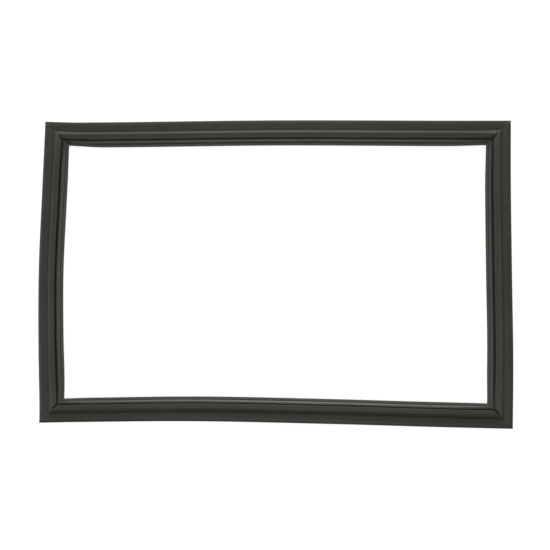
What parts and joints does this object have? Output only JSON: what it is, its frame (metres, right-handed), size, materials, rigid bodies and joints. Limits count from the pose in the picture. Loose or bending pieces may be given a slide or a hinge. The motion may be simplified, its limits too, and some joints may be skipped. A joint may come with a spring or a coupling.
{
  "type": "refrigerator door gasket",
  "caption": "Rectangular door gasket: a mitred ring of hollow vinyl profile with sealing flap, magnet pocket, bellows, inner balloon and push-in dart, with a magnet strip in each side.",
  "frame": {"origin": "middle of the part's box, on the surface that the dart's tips rest on", "axes": "+X along the long sides, +Y towards the upper long side of the picture, +Z out of the sealing face"},
  "size_m": [0.7314, 0.4708, 0.017],
  "materials": {
    "vinyl": "satin",
    "ferrite": "matte"
  },
  "bodies": {
    "root": {"gasket_frame": "vinyl", "magnet_strip_top": "ferrite", "magnet_strip_bottom": "ferrite", "magnet_strip_left": "ferrite", "magnet_strip_right": "ferrite"}
  },
  "joints": []
}
